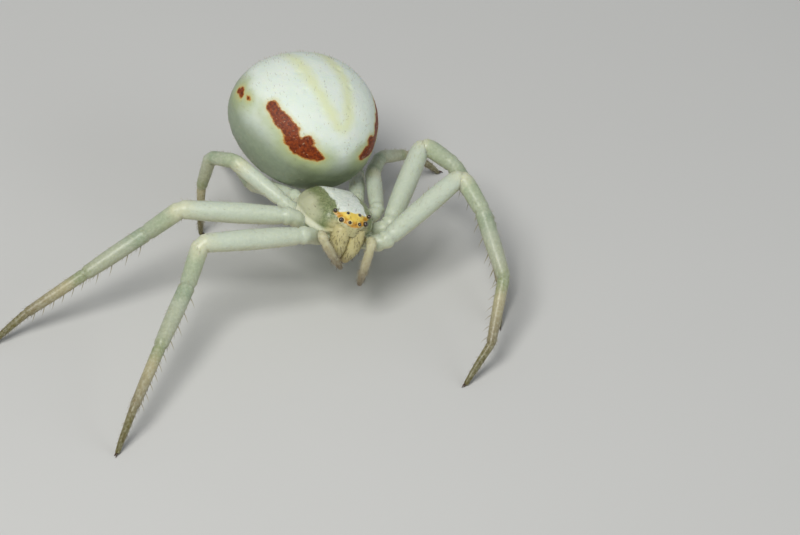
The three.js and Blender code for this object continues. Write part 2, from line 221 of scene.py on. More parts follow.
class Finish:
    """A material being made, with the object's coordinates as its only place."""

    def __init__(self, name):
        self.material = bpy.data.materials.new(name)
        self.material.use_nodes = True
        self.tree = self.material.node_tree
        self.tree.nodes.clear()
        self.object = self.node("ShaderNodeTexCoord", {}, {}, "Object")

    def node(self, kind, settings, sockets, out=0):
        made = self.tree.nodes.new(kind)
        for key, value in settings.items():
            setattr(made, key, value)
        for key, value in sockets.items():
            if isinstance(value, Wire):
                self.tree.links.new(value.socket, made.inputs[key])
            else:
                made.inputs[key].default_value = value
        return Wire(self, made.outputs[out])

    def ramp(self, share, stops):
        """A colour that runs through the stops while the share goes from 0 to 1."""
        made = self.node("ShaderNodeValToRGB", {}, {"Fac": share})
        elements = made.socket.node.color_ramp.elements
        for place, _ in stops[2:]:
            elements.new(place)
        for element, (place, _) in zip(elements, stops):
            element.position = place
        for element, (_, hue) in zip(elements, stops):
            element.color = hue
        return made

    def place(self, axes, size=(1.0, 1.0, 1.0)):
        """The object's coordinates seen from a turned frame, in millimetres times the sizes given."""
        sockets = {
            "Vector": self.object,
            "Location": axes.to_translation() * MM,
            "Rotation": axes.to_euler("XYZ"),
            "Scale": [side * MM for side in size],
        }
        return self.node("ShaderNodeMapping", {"vector_type": "TEXTURE"}, sockets)

    def split(self, vector):
        made = self.node("ShaderNodeSeparateXYZ", {}, {"Vector": vector})
        return [Wire(self, socket) for socket in made.socket.node.outputs]

    def noise(self, vector, scale, detail=3.0, rough=0.5, out="Fac"):
        sockets = {"Vector": vector, "Scale": scale, "Detail": detail, "Roughness": rough}
        return self.node("ShaderNodeTexNoise", {}, sockets, out)

    def cells(self, vector, scale):
        return self.node("ShaderNodeTexVoronoi", {}, {"Vector": vector, "Scale": scale}, "Distance")

    def attribute(self, name):
        return self.node("ShaderNodeAttribute", {"attribute_name": name}, {}, "Fac")

    def mix(self, share, a, b):
        return self.node("ShaderNodeMix", {"data_type": "RGBA"}, {0: share, 6: a, 7: b}, 2)

    def shift(self, vector, other, share):
        """A vector pushed by another one, times a share."""
        pushed = self.node("ShaderNodeVectorMath", {"operation": "SCALE"}, {0: other, "Scale": share})
        return self.node("ShaderNodeVectorMath", {"operation": "ADD"}, {0: vector, 1: pushed})

    def ragged(self, vector, wobble, share):
        """A vector pushed about by a colour noise, which makes the edges drawn with it ragged."""
        centred = self.shift(wobble, (-0.5, -0.5, -0.5), 1.0)
        return self.shift(vector, centred, share)

    def distance(self, vector, point):
        return self.node("ShaderNodeVectorMath", {"operation": "DISTANCE"}, {0: vector, 1: point}, "Value")

    def bump(self, height, depth, strength=1.0, under=None):
        sockets = {"Height": height, "Distance": depth * MM, "Strength": strength}
        if under:
            sockets["Normal"] = under
        return self.node("ShaderNodeBump", {}, sockets, "Normal")

    def skin(self, colour, roughness, normal, glow=0.0, radius=0.4, gloss=0.5, coat=0.0):
        """The surface itself: light goes a little way into it, as into a thin wax-like cuticle."""
        sockets = {
            "Base Color": colour,
            "Roughness": roughness,
            "Subsurface Weight": glow,
            "Subsurface Radius": (radius, radius * 0.9, radius * 0.6),
            "Subsurface Scale": MM,
            "Specular IOR Level": gloss,
            "Coat Weight": coat,
            "Coat Roughness": 0.15,
        }
        if normal:
            sockets["Normal"] = normal
        surface = self.node("ShaderNodeBsdfPrincipled", {}, sockets)
        end = self.tree.nodes.new("ShaderNodeOutputMaterial")
        self.tree.links.new(surface.socket, end.inputs["Surface"])
        return self.material


def tone(red, green, blue):
    """A colour as seen on a screen, 0 to 1, made linear."""
    linear = [((c + 0.055) / 1.055) ** 2.4 if c > 0.04 else c / 12.92 for c in (red, green, blue)]
    return (*linear, 1.0)


# The red-brown stripe is a run of overlapping spots on the unit abdomen: left, back, up and radius
SIDE_STRIPE = [
    ((-0.75, -0.118, 0.651), 0.088), ((-0.732, -0.2, 0.64), 0.085), ((-0.72, -0.28, 0.628), 0.098),
    ((-0.68, -0.38, 0.622), 0.118), ((-0.63, -0.5, 0.585), 0.12), ((-0.612, -0.61, 0.49), 0.115),
    ((-0.53, -0.71, 0.44), 0.135), ((-0.45, -0.79, 0.42), 0.12), ((-0.383, -0.824, 0.416), 0.105),
    ((-0.306, -0.871, 0.384), 0.075), ((-0.43, -0.71, 0.56), 0.08),
]
REAR_SPOTS = [((-0.875, 0.37, 0.32), 0.075), ((-0.86, 0.44, 0.25), 0.05), ((-0.88, 0.205, 0.43), 0.035)]
SPOT_BLEND = 0.05  # how softly neighbouring spots run together
LEFT_STRIPE_DROP = 11  # degrees the left stripe sits lower than the right one

# Two faint yellow stripes run down the back and meet above the front end, on the unit abdomen
BACK_STRIPES_MIDDLE = 0.04
BACK_STRIPES_MEET = -0.69
BACK_STRIPES_APART = 0.24


def spots_rim(made, point, spots):
    """How far a point is outside a blob grown round the spots, negative inside."""
    found = None
    for middle, radius in spots:
        rim = made.distance(point, middle) - radius
        found = rim if found is None else found.math("SMOOTH_MIN", rim, SPOT_BLEND)
    return found


def abdomen_finish():
    made = Finish("white_green_abdomen")
    place = made.place(ABDOMEN_AXES, (ABDOMEN["width"], ABDOMEN["length"], ABDOMEN["height"]))
    ragged = made.ragged(place, made.noise(place, 7.0, 6.0, 0.68, "Color"), 0.13)
    x, y, z = made.split(place)

    white = made.mix(made.noise(place, 5.0), tone(0.86, 0.92, 0.87), tone(0.93, 0.95, 0.91))
    # Low on the sides the white turns grey-green, part the skin's own green and part painted shade under the
    # body, darker towards the bottom
    shaded_low_green = made.mix(made.noise(place, 14.0), tone(0.50, 0.55, 0.46), tone(0.60, 0.65, 0.54))
    depth = z + made.noise(place, 3.0) * 0.3 - 0.15
    base = made.mix(depth.step(0.58, 0.0) * 0.92, white, shaded_low_green)
    # Painted shade: the low front end by the stalk, where the abdomen meets the prosoma, is darkened to
    # olive
    neck_shade = (y * -1).step(0.70, 0.97) * z.step(0.45, 0.0)
    base = made.mix(neck_shade * 0.6, base, tone(0.36, 0.40, 0.25))

    spread = (y - BACK_STRIPES_MEET).most(0.0)
    apart = (spread / 0.75).least(1.0) ** 0.5 * BACK_STRIPES_APART
    off = abs(abs(x - BACK_STRIPES_MIDDLE) - apart) + (made.noise(place, 6.0) - 0.5) * 0.12
    faint = off.step(0.16, 0.0) * z.step(0.1, 0.5) * (y * -1).step(0.8, 0.62) * y.step(0.95, 0.5)
    base = made.mix(faint * 0.6, base, tone(0.88, 0.90, 0.66))

    mirrored = made.node("ShaderNodeVectorMath", {"operation": "MULTIPLY"}, {0: ragged, 1: (-1, 1, 1)})
    lowered = made.node(
        "ShaderNodeVectorRotate", {"rotation_type": "Y_AXIS"},
        {"Vector": mirrored, "Angle": math.radians(LEFT_STRIPE_DROP)},
    )

    # Round the rust-brown marks the skin is yellow-green, then a thin line of orange
    marks = SIDE_STRIPE + REAR_SPOTS
    rim = spots_rim(made, ragged, marks).least(spots_rim(made, lowered, marks))
    base = made.mix(rim.step(0.30, 0.02) * depth.step(0.66, 0.42) * 0.7, base, tone(0.68, 0.73, 0.50))
    base = made.mix(rim.step(0.09, 0.0) * 0.5, base, tone(0.82, 0.78, 0.50))
    base = made.mix(rim.step(0.02, 0.0) * 0.9, base, tone(0.74, 0.48, 0.16))
    mottle = made.noise(place, 24.0, 5.0, 0.75).step(0.36, 0.66)
    rust = made.mix(mottle, tone(0.36, 0.12, 0.01), tone(0.60, 0.26, 0.05))
    base = made.mix(rim.step(0.004, -0.016), base, rust)
    fleck = made.noise(ragged, 34.0, 2.0).step(0.66, 0.72) * rim.step(0.0, -0.03)
    base = made.mix(fleck * 0.6, base, tone(0.80, 0.66, 0.52))

    # Pores, each a tiny grey dot
    pore = made.cells(place, 34.0).step(0.11, 0.05) * made.noise(place, 4.0).step(0.35, 0.6)
    base = made.mix(pore * 0.3, base, tone(0.50, 0.56, 0.48))
    grain = made.cells(place, 46.0) * 0.5 + made.noise(place, 30.0, 5.0)
    bump = made.bump(grain, 0.014, 0.5, made.bump(made.noise(place, 8.0), 0.05, 0.3))
    rough = made.noise(place, 20.0) * 0.16 + 0.44
    return made.skin(base, rough, bump, 0.3, 0.35, 0.3)


# Edges of the carapace's bands in millimetres from its middle line: where each fades out, and is full
GREEN_BAND = (1.30, 0.98)
WHITE_PATCH = (0.68, 0.60)
EYE_BAND_SIDE = (0.90, 0.82)
# The yellow eye band's upper edge (along the body) and lower edge (in height) bow like a shallow U
EYE_BAND_TOP = -1.12
EYE_BAND_LOW = 0.78
EYE_BAND_TOP_BOW = 0.3
EYE_BAND_LOW_BOW = 0.29
RIM_AT = 0.05


def carapace_finish():
    made = Finish("green_banded_carapace")
    place = made.place(SHIELD)
    ragged = made.ragged(place, made.noise(place, 4.0, 4.0, 0.65, "Color"), 0.22)
    x, y, z = made.split(place)
    rx, ry, rz = made.split(ragged)

    pale = made.mix(made.noise(place, 3.0), tone(0.72, 0.74, 0.60), tone(0.80, 0.80, 0.68))
    mottle = made.noise(place, 11.0, 5.0, 0.7).step(0.32, 0.66)
    green = made.mix(mottle, tone(0.33, 0.40, 0.20), tone(0.58, 0.62, 0.44))
    white = made.mix(made.noise(place, 9.0).step(0.3, 0.7), tone(0.86, 0.90, 0.85), tone(0.94, 0.96, 0.92))
    side = abs(rx)
    band = side.step(*GREEN_BAND) * (ry * -1).step(1.52, 1.15)
    base = made.mix(band * 0.92, pale, green)
    middle = (side + ry * -0.05).step(*WHITE_PATCH)
    base = made.mix(middle * (ry * -1).step(1.5, 1.3), base, white)

    # The face under the eyes, olive-cream with tiny dark specks
    face = rz.step(0.92, 0.70) * (y * -1).step(0.95, 1.25)
    speck = made.cells(place, 8.0).step(0.14, 0.06)
    olive = made.mix(made.noise(place, 7.0), tone(0.68, 0.66, 0.46), tone(0.78, 0.76, 0.58))
    base = made.mix(face, base, made.mix(speck * 0.5, olive, tone(0.40, 0.36, 0.20)))

    # The yellow band over the eyes is amber along its lower edge
    upper = x * x * EYE_BAND_TOP_BOW + EYE_BAND_TOP - y + (made.noise(place, 8.0) - 0.5) * 0.08
    lower = z - x * x * EYE_BAND_LOW_BOW - EYE_BAND_LOW + (made.noise(place, 9.0) - 0.5) * 0.08
    mask = upper.step(-0.03, 0.03) * lower.step(-0.03, 0.03) * abs(x).step(*EYE_BAND_SIDE)
    deeper = (made.noise(place, 6.0) * 0.4 + lower.step(0.3, 0.05) * 0.7).step(0.3, 0.75)
    amber = made.mix(deeper, tone(0.94, 0.82, 0.38), tone(0.78, 0.56, 0.10))
    base = made.mix(mask, base, amber)

    # A pale ring round each eye
    fold = made.node("ShaderNodeVectorMath", {"operation": "ABSOLUTE"}, {0: place})
    ring = None
    for (left, forward, up), radius in EYES.values():
        near = made.distance(fold, (left, forward, up)) - radius
        ring = near if ring is None else ring.least(near)
    around = ring.step(0.06, 0.02) * (y * -1).step(0.0, 0.3)
    base = made.mix(around * 0.6, base, tone(0.92, 0.87, 0.60))

    # The rolled rim is paler, like a thick clear lip
    lip = abs(z - RIM_AT).step(0.24, 0.10)
    base = made.mix(lip * 0.75, base, tone(0.88, 0.89, 0.80))
    grain = made.noise(place, 26.0, 5.0, 0.6) + made.cells(place, 16.0) * 0.4
    bump = made.bump(grain, 0.016, 0.6, made.bump(made.noise(place, 5.0), 0.05, 0.4))
    rough = made.noise(place, 12.0) * 0.18 + 0.28
    return made.skin(base, rough, bump, 0.25, 0.3, 0.5, 0.15)


def leg_finish(name, stops_above, stops_below):
    """Tones along a leg from the hip (0) to the claws (1), above and below."""
    made = Finish(name)
    along = made.attribute("along")
    above = made.attribute("above")
    place = made.place(Matrix.Identity(4))
    drift = along + (made.noise(place, 2.5, 4.0, 0.6) - 0.5) * 0.06
    top = made.ramp(drift, stops_above)
    under = made.ramp(drift, stops_below)
    base = made.mix((above + (made.noise(place, 2.0) - 0.5) * 0.4).step(-0.55, 0.45), under, top)
    streak = made.noise(place, 9.0, 4.0, 0.6).step(0.35, 0.75)
    base = made.mix(streak * 0.25, base, tone(0.90, 0.92, 0.84))
    speck = made.cells(place, 9.0).step(0.12, 0.05)
    base = made.mix(speck * 0.3, base, tone(0.42, 0.40, 0.24))
    grain = made.noise(place, 30.0, 5.0, 0.6) + made.cells(place, 20.0) * 0.5
    bump = made.bump(grain, 0.012, 0.6, made.bump(made.noise(place, 4.0), 0.04, 0.4))
    rough = made.noise(place, 10.0) * 0.18 + 0.3
    return made.skin(base, rough, bump, 0.45, 0.5, 0.5, 0.1)


def plain_finish(name, light, dark, glow=0.3, gloss=0.5, rough=0.4):
    """Skin of one colour that drifts between two tones, with fine grain."""
    made = Finish(name)
    place = made.place(Matrix.Identity(4))
    base = made.mix(made.noise(place, 6.0, 4.0, 0.6).step(0.3, 0.7), light, dark)
    bump = made.bump(made.noise(place, 28.0, 5.0, 0.6), 0.012, 0.6)
    return made.skin(base, made.noise(place, 12.0) * 0.15 + rough, bump, glow, 0.3, gloss)


def jaw_finish():
    made = Finish("olive_jaws")
    place = made.place(SHIELD)
    height = made.split(place)[2]
    base = made.mix(made.noise(place, 6.0), tone(0.72, 0.68, 0.46), tone(0.82, 0.79, 0.60))
    base = made.mix(height.step(-0.35, -0.95) * 0.75, base, tone(0.52, 0.42, 0.20))
    speck = made.cells(place, 9.0).step(0.13, 0.05)
    base = made.mix(speck * 0.6, base, tone(0.32, 0.24, 0.10))
    bump = made.bump(made.noise(place, 24.0, 5.0), 0.014, 0.6)
    return made.skin(base, made.noise(place, 10.0) * 0.15 + 0.3, bump, 0.25, 0.25, 0.5, 0.1)


def bristle_finish():
    made = Finish("bristles")
    dark = made.attribute("dark")
    place = made.place(Matrix.Identity(4))
    base = made.mix(dark, tone(0.82, 0.80, 0.68), tone(0.20, 0.13, 0.06))
    base = made.mix(made.noise(place, 8.0) * 0.4, base, tone(0.62, 0.54, 0.38))
    return made.skin(base, 0.42, None, 0.0, 0.1, 0.5)


def eye_finish():
    made = Finish("wet_black_eye")
    place = made.place(Matrix.Identity(4))
    base = made.mix(made.noise(place, 12.0), tone(0.10, 0.06, 0.03), tone(0.20, 0.12, 0.06))
    return made.skin(base, 0.08, None, 0.0, 0.1, 0.7, 1.0)


# Tones along a limb: how far along, and the colour there
LEG_ABOVE = [
    (0.0, tone(0.74, 0.77, 0.66)), (0.12, tone(0.76, 0.80, 0.72)), (0.33, tone(0.78, 0.82, 0.75)),
    (0.39, tone(0.81, 0.82, 0.70)), (0.43, tone(0.66, 0.71, 0.59)), (0.50, tone(0.66, 0.70, 0.60)),
    (0.53, tone(0.58, 0.64, 0.53)), (0.57, tone(0.68, 0.71, 0.62)), (0.67, tone(0.66, 0.68, 0.58)),
    (0.71, tone(0.56, 0.60, 0.45)), (0.76, tone(0.68, 0.65, 0.51)), (0.86, tone(0.54, 0.50, 0.38)),
    (0.92, tone(0.42, 0.39, 0.20)), (1.0, tone(0.35, 0.32, 0.12)),
]
LEG_BELOW = [
    (0.0, tone(0.74, 0.74, 0.58)), (0.15, tone(0.76, 0.76, 0.64)), (0.36, tone(0.77, 0.78, 0.65)),
    (0.40, tone(0.78, 0.78, 0.64)), (0.44, tone(0.66, 0.69, 0.54)), (0.52, tone(0.66, 0.68, 0.55)),
    (0.55, tone(0.59, 0.62, 0.47)), (0.58, tone(0.68, 0.68, 0.55)), (0.68, tone(0.64, 0.64, 0.49)),
    (0.72, tone(0.55, 0.57, 0.40)), (0.76, tone(0.66, 0.61, 0.44)), (0.86, tone(0.52, 0.47, 0.32)),
    (0.92, tone(0.40, 0.36, 0.17)), (1.0, tone(0.32, 0.28, 0.10)),
]
PALP_ABOVE = [(0.0, tone(0.76, 0.76, 0.62)), (0.6, tone(0.72, 0.69, 0.55)), (1.0, tone(0.38, 0.30, 0.20))]
PALP_BELOW = [(0.0, tone(0.74, 0.72, 0.56)), (0.6, tone(0.66, 0.60, 0.48)), (1.0, tone(0.34, 0.25, 0.18))]

FINISHES = {
    "abdomen": abdomen_finish(),
    "carapace": carapace_finish(),
    "leg": leg_finish("pale_green_leg", LEG_ABOVE, LEG_BELOW),
    "palp": leg_finish("pale_palp", PALP_ABOVE, PALP_BELOW),
    "jaw": jaw_finish(),
    "eye": eye_finish(),
    "bristle": bristle_finish(),
    "belly": plain_finish("pale_underside", tone(0.78, 0.82, 0.70), tone(0.66, 0.70, 0.56)),
    "claw": plain_finish("dark_claw", tone(0.30, 0.20, 0.10), tone(0.16, 0.09, 0.05), 0.0, 0.6, 0.25),
}


def add_object(name, data):
    made = bpy.data.objects.new(name, data)
    bpy.context.scene.collection.objects.link(made)
    return made


def hang(name, mesh, finish):
    """Puts a mesh on the model in its finish."""
    made = add_object(name, mesh)
    mesh.materials.append(FINISHES[finish])
    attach(made, "root")
    return made


def piece(name, bm, finish, replaces=()):
    """Scales a finished shape to metres, smooths its shading and hangs it on the model."""
    bmesh.ops.scale(bm, vec=(MM, MM, MM), verts=bm.verts)
    bmesh.ops.recalc_face_normals(bm, faces=bm.faces)
    for face in bm.faces:
        face.smooth = True
    mesh = bpy.data.meshes.new(name)
    bm.to_mesh(mesh)
    bm.free()
    made = hang(name, mesh, finish)
    if replaces:
        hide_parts(*replaces)


def shaped_ball(around, rows, shape, axes, poles="Y"):
    """A sphere of radius 1 with its poles on the body's long axis or upright, moved point by point."""
    bm = bmesh.new()
    lay = turned(90, "X") if poles == "Y" else Matrix.Identity(4)
    bmesh.ops.create_uvsphere(bm, u_segments=around, v_segments=rows, radius=1.0, matrix=lay)
    for vert in bm.verts:
        vert.co = shape(vert.co)
    bmesh.ops.transform(bm, matrix=axes, verts=bm.verts)
    return bm


SKIN_DEPTH = 0.02  # how far the skins rest under the solids' faces
MUSCLE_PITS = [(0.24, -0.4), (0.34, -0.08), (0.3, 0.24)]  # on the unit abdomen's back: left and back
PIT_DEPTH, PIT_WIDTH = 0.045, 0.035
BELLY_GROOVE_AT, BELLY_GROOVE_DEPTH = -0.42, 0.06
FINE_FOLDS = Vector((3, 26, 3))  # how close the belly's folds are along each axis


def abdomen_shape(unit):
    """A point of the abdomen's skin, in its own axes, from a point of the unit ball."""
    x, y, z = unit
    full = 1 + ABDOMEN_FULLNESS * y - ABDOMEN_PINCH * (1 - y * y)
    flat = z**ABDOMEN_FLATNESS if z > 0 else z
    height = flat * ABDOMEN["height"] * (1 + ABDOMEN_REAR_RISE * y)
    point = Vector((x * full * ABDOMEN["width"], y * ABDOMEN["length"], height))
    rise = 0.035 * noise.noise(unit * 2.3) + 0.01 * noise.noise(unit * 9.0)
    low = smooth_step(0.15, -0.5, z)
    front = smooth_step(-0.72, -0.95, y)
    rise += 0.02 * max(low, front) * noise.noise(unit * FINE_FOLDS)
    rise -= BELLY_GROOVE_DEPTH * hump(y, BELLY_GROOVE_AT, 0.035) * smooth_step(-0.35, -0.8, z)
    if z > 0:
        for pit_left, pit_back in MUSCLE_PITS:
            away = math.hypot(abs(x) - pit_left, y - pit_back)
            rise -= PIT_DEPTH * hump(away, 0, PIT_WIDTH)
    return point + point.normalized() * (rise - SKIN_DEPTH)


EYE_BUMPS = [(Vector((left, -forward, up)), radius) for (left, forward, up), radius in EYES.values()]
LEG_SWELLINGS = 7.2  # waves per radian round the chest, one over each leg


def carapace_shape(unit):
    """A point of the carapace's skin, in its own axes, from a point of the unit ball."""
    x, y, z = unit
    out = max(1e-6, math.hypot(x, y))
    facing = max(0.0, -y / out)
    power = 2 / (DOME_BACK + (DOME_FACE - DOME_BACK) * facing)
    wide = out**power / out
    front = max(0.0, -y * wide)
    pear = 1 - HEAD_TAPER * front**HEAD_CURVE + REAR_SPREAD * max(0.0, y * wide)
    dome = max(0.0, z) ** power
    tall = CARAPACE["height"] * dome + CARAPACE["rim"] * min(0.0, z)
    raised = FACE_RAISE * smooth_step(FACE_FROM, FACE_TO, front) * (1 - dome) ** 2
    reach = CARAPACE["length" if y < 0 else "back"]
    point = Vector((x * wide * CARAPACE["width"] * pear, y * wide * reach, tall + raised))
    outward = Vector((point.x / 3.4, point.y / 3.0, point.z / 1.6)).normalized()
    back = 1 - smooth_step(0.75, 1.0, facing)
    # The rim is a rolled lip with a groove above it
    lip = 0.05 * hump(tall, RIM_AT, 0.1) - 0.055 * hump(tall, 0.27, 0.09)
    rise = lip * back - SKIN_DEPTH
    # Shallow valleys part the head from the chest, with low swellings over each leg
    valley = abs(point.x) - (0.62 + 0.25 * smooth_step(0.3, -1.2, point.y))
    rise -= 0.03 * hump(valley, 0.0, 0.09) * smooth_step(0.9, 0.2, point.y) * smooth_step(0.3, 0.7, tall)
    bearing = math.atan2(abs(point.x), -point.y)
    flank = smooth_step(0.2, 0.5, tall) * smooth_step(1.25, 0.9, tall) * back
    rise += 0.025 * math.cos(bearing * LEG_SWELLINGS) * flank
    # A low ring rises round each eye, and the skin dips under it
    mirror = Vector((abs(point.x), point.y, point.z))
    for place, radius in EYE_BUMPS:
        away = (mirror - place).length / radius
        rise += radius * (0.4 * hump(away, 1.3, 0.5) - 0.5 * hump(away, 0.0, 0.8))
    rise += 0.012 * noise.noise(point * 3.0)
    return point + outward * rise


def build_shells():
    bm = shaped_ball(240, 150, abdomen_shape, ABDOMEN_AXES)
    piece("abdomen_skin", bm, "abdomen", ["abdomen"])
    bm = shaped_ball(220, 130, carapace_shape, SHIELD, "Z")
    piece("carapace_skin", bm, "carapace", ["carapace"])


def build_eyes():
    for pair, ((left, forward, up), radius) in EYES.items():
        for name, side in SIDES.items():
            bm = bmesh.new()
            bmesh.ops.create_uvsphere(bm, u_segments=32, v_segments=20, radius=radius)
            bmesh.ops.translate(bm, vec=in_body(side * left, forward, up, SHIELD), verts=bm.verts)
            piece(f"eyeball_{pair}_{name}", bm, "eye", [f"eye_{pair}_{name}"])


class Tube:
    """A round limb along a bent line of joints.

    Each station is a place, two cross axes, a radius, its share of the limb, its segment and its
    share of the segment.
    """

    RING = 30
    STEP = 0.09
    SLACK = 0.05  # a corner starts this much earlier than its inner side needs
    LONGEST_CORNER = 0.45  # of the segments beside it

    def __init__(self, joints, sizes, fold=0.1, trochanter=False):
        self.trochanter = trochanter
        self.stations = []
        ways = [(b - a).normalized() for a, b in zip(joints, joints[1:])]
        lengths = [(b - a).length for a, b in zip(joints, joints[1:])]
        whole = sum(lengths)
        line = []
        bends = [0.0]
        for i in range(1, len(ways)):
            half = ways[i - 1].angle(ways[i]) / 2
            reach = sizes[i][0] * math.tan(half) * (1 + self.SLACK) + self.SLACK
            bends.append(min(reach, self.LONGEST_CORNER * min(lengths[i - 1], lengths[i])))
        bends.append(0.0)
        gone = 0.0
        for i, (way, length) in enumerate(zip(ways, lengths)):
            start, end = bends[i], length - bends[i + 1]
            count = max(2, round((end - start) / self.STEP))
            for k in range(count + 1):
                along = start + (end - start) * k / count
                line.append((joints[i] + way * along, way, i, along / length, gone + along))
            gone += length
            if i + 1 < len(ways):
                line += self.corner(joints[i + 1], way, ways[i + 1], bends[i + 1], i, lengths, gone)
        self.lengths = lengths
        self.sizes = sizes
        self.whole = whole
        self.fold = fold
        across = ways[0].cross(Vector((0, 0, 1))).normalized()
        for place, way, i, share, along in line:
            across = (across - way * across.dot(way)).normalized()
            rise = across.cross(way)
            self.stations.append((place, across, rise, self.radius(i, share), along / whole, i, share))

    def corner(self, joint, before, after, bend, i, lengths, gone):
        """The rounded corner at a joint, as places between the two straight stretches."""
        found = []
        count = max(3, round(2 * bend / self.STEP))
        for k in range(1, count):
            t = k / count
            a = joint - before * bend
            b = joint + after * bend
            place = a * (1 - t) ** 2 + joint * 2 * t * (1 - t) + b * t**2
            way = ((joint - a) * (1 - t) + (b - joint) * t).normalized()
            along = (2 * t - 1) * bend
            if along < 0:
                found.append((place, way, i, 1 + along / lengths[i], gone + along))
            else:
                found.append((place, way, i + 1, along / lengths[i + 1], gone + along))
        return found

    def radius(self, i, share):
        """The radius along segment i: drawn in at the joints, with a low swelling beside each fold."""
        start, end, belly = self.sizes[i]
        radius = start + (end - start) * share + belly * math.sin(math.pi * share)
        inner, outer = share * self.lengths[i], (1 - share) * self.lengths[i]
        if self.trochanter and i == 1:
            radius *= 1 - 0.13 * hump(inner, 0.42, 0.07) + 0.07 * hump(inner, 0.22, 0.12)
        for away, free_end in ((inner, i == 0), (outer, i == len(self.sizes) - 1)):
            if not free_end:
                radius *= 1 - self.fold * hump(away, 0, 0.06) + 0.04 * hump(away, 0.17, 0.08)
        return radius

    def land(self, share):
        """Bends the last stretch down so that its round tip just touches the floor."""
        tip, _, _, radius, *_ = self.stations[-1]
        drop = tip.z - radius
        for n, (place, *rest) in enumerate(self.stations):
            down = max(0.0, (rest[3] - share) / (1 - share))
            self.stations[n] = (place - Vector((0, 0, drop * down**2)), *rest)

    def rounded_tip(self):
        """Stations that close the far end with a half ball."""
        place, across, rise, radius, along, i, share = self.stations[-1]
        way = rise.cross(across)
        ends = []
        for turn in (30, 55, 75, 88):
            a = math.radians(turn)
            centre = place + way * radius * math.sin(a)
            ends.append((centre, across, rise, radius * math.cos(a), along, i, share))
        return ends

    def spot(self, share, turn):
        """A point on the skin, its outward and onward directions, and its share of the limb."""
        near = share * (len(self.stations) - 1)
        n = min(int(near), len(self.stations) - 2)
        part = near - n
        a, b = self.stations[n], self.stations[n + 1]
        outward = (a[1] * math.cos(turn) + a[2] * math.sin(turn)).normalized()
        place = a[0].lerp(b[0], part) + outward * (a[3] + (b[3] - a[3]) * part)
        return place, outward, (b[0] - a[0]).normalized(), a[4] + (b[4] - a[4]) * part

    def skin(self):
        """The limb as one closed shape, whose points keep their place along and above its line."""
        bm = bmesh.new()
        along_layer = bm.verts.layers.float.new("along")
        above_layer = bm.verts.layers.float.new("above")
        verts, before = None, None
        for place, across, rise, radius, along, *_ in self.stations + self.rounded_tip():
            way = rise.cross(across)
            axes = Matrix((across * radius, rise * radius, way)).transposed().to_4x4()
            axes.translation = place
            if verts is None:
                verts = bmesh.ops.create_circle(bm, segments=self.RING, radius=1.0, matrix=axes)["verts"]
                edges = list({edge for vert in verts for edge in vert.link_edges})
                root = edges
            else:
                grown = bmesh.ops.extrude_edge_only(bm, edges=edges)["geom"]
                verts = [part for part in grown if isinstance(part, bmesh.types.BMVert)]
                edges = [part for part in grown if isinstance(part, bmesh.types.BMEdge)]
                bmesh.ops.transform(bm, matrix=axes @ before.inverted(), verts=verts)
            for vert in verts:
                vert[along_layer] = along
                vert[above_layer] = (vert.co - place).z / max(radius, 1e-6)
            before = axes
        bmesh.ops.contextual_create(bm, geom=edges)
        bmesh.ops.contextual_create(bm, geom=root)
        for vert in bm.verts:
            grain = 0.012 * noise.noise(vert.co * 1.7) + 0.004 * noise.noise(vert.co * 7.0)
            vert.co += Vector((noise.noise(vert.co + Vector((9, 0, 0))), 0, 1)) * grain
        return bm


def heading(turn, climb):
    """The direction so many degrees round from straight ahead and up."""
    turn, climb = math.radians(turn), math.radians(climb)
    return Vector((math.sin(turn) * math.cos(climb), -math.cos(turn) * math.cos(climb), math.sin(climb)))


def leg_joints(hip, turns, lengths):
    """The joints from the hip out, with the last segments lifted together until the foot lands."""
    low, high = -30.0, 30.0
    for _ in range(40):
        lift = (low + high) / 2
        joints = [hip]
        for i, ((turn, climb), length) in enumerate(zip(turns, lengths)):
            raised = climb + lift if i >= len(turns) - FOOT_SPAN else climb
            joints.append(joints[-1] + heading(turn, raised) * length)
        if joints[-1].z > FOOT_REST:
            high = lift
        else:
            low = lift
    return joints


def leg_tube(name):
    lengths, side, hip_turn, reach, hip_up, turns = LEGS[name]
    around = math.radians(hip_turn)
    hip = in_body(side * reach * math.sin(around), reach * math.cos(around), hip_up)
    root = in_body(side * COXA_FROM * math.sin(around), COXA_FROM * math.cos(around), COXA_UP)
    sizes = LONG_SKIN if lengths is LONG_LEG else SHORT_SKIN
    tube = Tube([root] + leg_joints(hip, turns, lengths), sizes, trochanter=True)
    tube.land(1 - lengths[-1] / tube.whole)
    return tube


SHIELD_INVERSE = SHIELD.inverted()
JAW_LINE = [(0.31, 1.28, 0.6), (0.31, 1.42, 0.0), (0.22, 1.42, -0.66)]
JAW_SKIN = [(0.33, 0.37, 0.03), (0.37, 0.22, 0.05)]
FANG_LINE = [(0.22, 1.42, -0.8), (0.18, 1.34, -0.95), (0.07, 1.13, -0.93)]
FANG_SKIN = [(0.07, 0.055, 0.0), (0.055, 0.015, 0.0)]
JAW_GAP = 0.012  # between each jaw and the middle plane


def build_fangs_and_jaws():
    tubes = {}
    for name, side in SIDES.items():
        tube = Tube([in_body(side * left, *rest, SHIELD) for left, *rest in JAW_LINE], JAW_SKIN, 0.0)
        tubes[name] = tube
        bm = tube.skin()
        for vert in bm.verts:
            own = SHIELD_INVERSE @ vert.co
            own.x = side * max(JAW_GAP, side * own.x)
            vert.co = SHIELD @ own
        piece(f"jaw_{name}", bm, "jaw", [f"chelicera_{name}"])
        fang = Tube([in_body(side * left, *rest, SHIELD) for left, *rest in FANG_LINE], FANG_SKIN, 0.0)
        piece(f"fang_{name}", fang.skin(), "claw")
    return tubes


def build_palps():
    tubes = {}
    for name, places in PALPS.items():
        tube = Tube([in_body(*place) for place in places], PALP_SKIN, 0.12)
        tubes[name] = tube
        piece(f"palp_skin_{name}", tube.skin(), "palp", [f"palp_{name}"])
    return tubes


